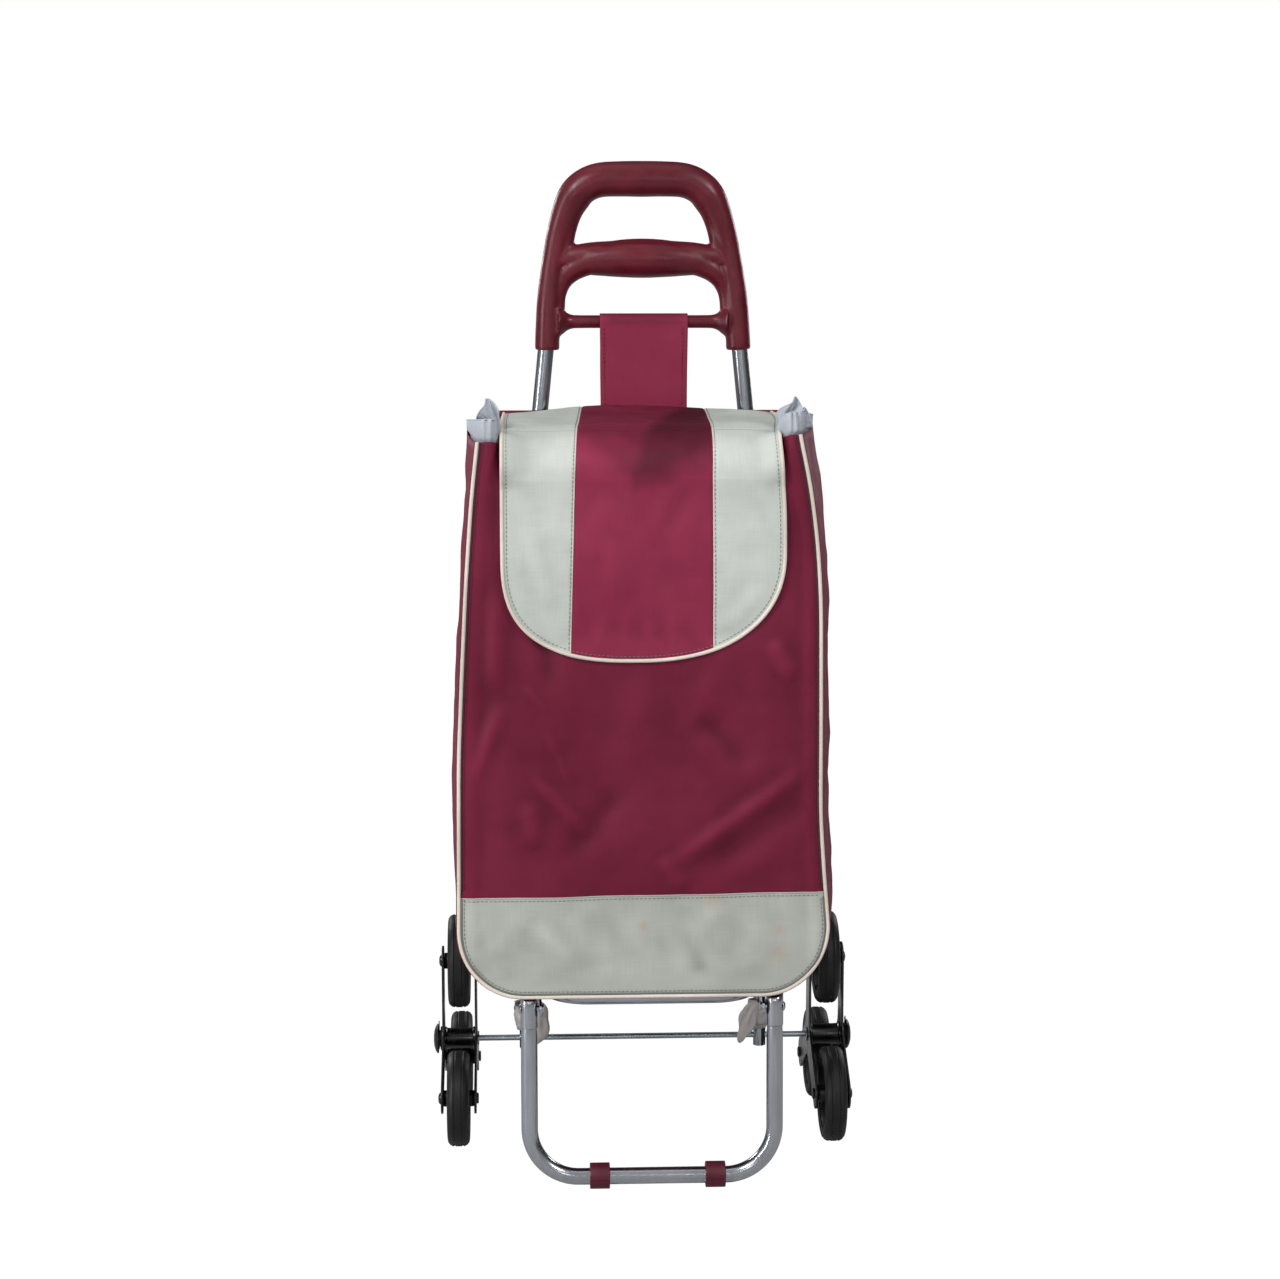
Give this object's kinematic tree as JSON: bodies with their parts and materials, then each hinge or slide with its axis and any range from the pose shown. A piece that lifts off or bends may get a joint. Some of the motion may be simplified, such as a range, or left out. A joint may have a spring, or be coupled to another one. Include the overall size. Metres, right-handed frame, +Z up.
{
  "type": "shopping trolley",
  "caption": "Stair-climbing shopping trolley: a burgundy and grey fabric bag with a lid on a silver tube frame, a looped handle, a folding foot and tri-star wheel sets.",
  "frame": {"origin": "middle of the footprint, on the floor", "axes": "+Z up along the posts, -Y towards the front of the bag, +X to the right seen from the front"},
  "size_m": [0.4352, 0.3428, 0.9879],
  "materials": {
    "handle_plastic": "glossy moulded burgundy",
    "clip_plastic": "semi-gloss moulded burgundy",
    "tube_steel": "satin silver powder coat",
    "zinc_steel": "bright zinc plate",
    "star_steel": "black satin enamel",
    "cap_plastic": "black satin moulding",
    "rim_plastic": "black satin moulding",
    "tyre_rubber": "smooth black with two grooves",
    "bag_nylon": "burgundy woven nylon, slightly creased",
    "strap_nylon": "burgundy woven nylon band",
    "grey_nylon": "grey woven nylon with faint stains",
    "lid_nylon": "light grey woven nylon with a burgundy middle",
    "collar_cloth": "thin bluish grey lining cloth",
    "tie_cloth": "crumpled warm grey strip",
    "piping": "off-white piping cord",
    "base_board": "plain stiff board"
  },
  "bodies": {
    "root": {"axle": "zinc_steel", "axle_washer_left": "zinc_steel", "axle_washer_right": "zinc_steel", "bag_back_panel": "bag_nylon", "bag_base_board": "base_board", "bag_collar": "collar_cloth", "bag_front_panel": "bag_nylon", "bag_gusset": "bag_nylon", "bag_kick_panel": "grey_nylon", "cotter_pin_left": "zinc_steel", "cotter_pin_right": "zinc_steel", "cross_tube_lower": "tube_steel", "cross_tube_upper": "tube_steel", "handle_grip": "handle_plastic", "hanging_strap": "strap_nylon", "hinge_bracket_left": "tube_steel", "hinge_bracket_right": "tube_steel", "hinge_rivet_left": "tube_steel", "hinge_rivet_right": "tube_steel", "hub_cap_left": "cap_plastic", "hub_cap_right": "cap_plastic", "piping_front": "piping", "platform_bolt_left": "zinc_steel", "platform_bolt_right": "zinc_steel", "platform_frame": "tube_steel", "post_left": "tube_steel", "post_right": "tube_steel", "tie_left": "tie_cloth", "tie_right": "tie_cloth"},
    "foot_stand": {"foot_tube": "tube_steel", "foot_clip_left": "clip_plastic", "foot_clip_right": "clip_plastic", "leg_knuckle_left": "tube_steel", "leg_knuckle_right": "tube_steel"},
    "lid_top": {"lid_top_panel": "lid_nylon"},
    "lid_flap": {"lid_front_flap": "lid_nylon"},
    "star_left": {"star_plate_outer_left": "star_steel", "star_plate_inner_left": "star_steel", "star_hub_left": "star_steel", "wheel_pin_left_a": "star_steel", "wheel_pin_left_b": "star_steel", "wheel_pin_left_c": "star_steel"},
    "wheel_left_a": {"tyre_left_a": "tyre_rubber", "rim_left_a": "rim_plastic"},
    "wheel_left_b": {"tyre_left_b": "tyre_rubber", "rim_left_b": "rim_plastic"},
    "wheel_left_c": {"tyre_left_c": "tyre_rubber", "rim_left_c": "rim_plastic"},
    "star_right": {"star_plate_outer_right": "star_steel", "star_plate_inner_right": "star_steel", "star_hub_right": "star_steel", "wheel_pin_right_a": "star_steel", "wheel_pin_right_b": "star_steel", "wheel_pin_right_c": "star_steel"},
    "wheel_right_a": {"tyre_right_a": "tyre_rubber", "rim_right_a": "rim_plastic"},
    "wheel_right_b": {"tyre_right_b": "tyre_rubber", "rim_right_b": "rim_plastic"},
    "wheel_right_c": {"tyre_right_c": "tyre_rubber", "rim_right_c": "rim_plastic"}
  },
  "joints": [
    {"name": "foot_fold", "type": "hinge", "parent": "root", "child": "foot_stand", "pos_m": [0, -0.14844, 0.178], "axis": [1, 0, 0], "range_deg": [0, 80]},
    {"name": "lid_lift", "type": "hinge", "parent": "root", "child": "lid_top", "pos_m": [0, 0.03856, 0.745], "axis": [-1, 0, 0], "range_deg": [0, 80]},
    {"name": "flap_lift", "type": "hinge", "parent": "lid_top", "child": "lid_flap", "pos_m": [0, -0.16094, 0.731], "axis": [-1, 0, 0], "range_deg": [0, 110]},
    {"name": "star_turn_left", "type": "hinge", "parent": "root", "child": "star_left", "pos_m": [-0.1903, 0.05156, 0.0895], "axis": [1, 0, 0], "continuous": true},
    {"name": "star_turn_right", "type": "hinge", "parent": "root", "child": "star_right", "pos_m": [0.1903, 0.05156, 0.0895], "axis": [1, 0, 0], "continuous": true},
    {"name": "wheel_spin_left_a", "type": "hinge", "parent": "star_left", "child": "wheel_left_a", "pos_m": [-0.1903, 0.05156, 0.1725], "axis": [1, 0, 0], "continuous": true},
    {"name": "wheel_spin_left_b", "type": "hinge", "parent": "star_left", "child": "wheel_left_b", "pos_m": [-0.1903, -0.02032, 0.048], "axis": [1, 0, 0], "continuous": true},
    {"name": "wheel_spin_left_c", "type": "hinge", "parent": "star_left", "child": "wheel_left_c", "pos_m": [-0.1903, 0.12344, 0.048], "axis": [1, 0, 0], "continuous": true},
    {"name": "wheel_spin_right_a", "type": "hinge", "parent": "star_right", "child": "wheel_right_a", "pos_m": [0.1903, 0.05156, 0.1725], "axis": [1, 0, 0], "continuous": true},
    {"name": "wheel_spin_right_b", "type": "hinge", "parent": "star_right", "child": "wheel_right_b", "pos_m": [0.1903, -0.02032, 0.048], "axis": [1, 0, 0], "continuous": true},
    {"name": "wheel_spin_right_c", "type": "hinge", "parent": "star_right", "child": "wheel_right_c", "pos_m": [0.1903, 0.12344, 0.048], "axis": [1, 0, 0], "continuous": true}
  ]
}
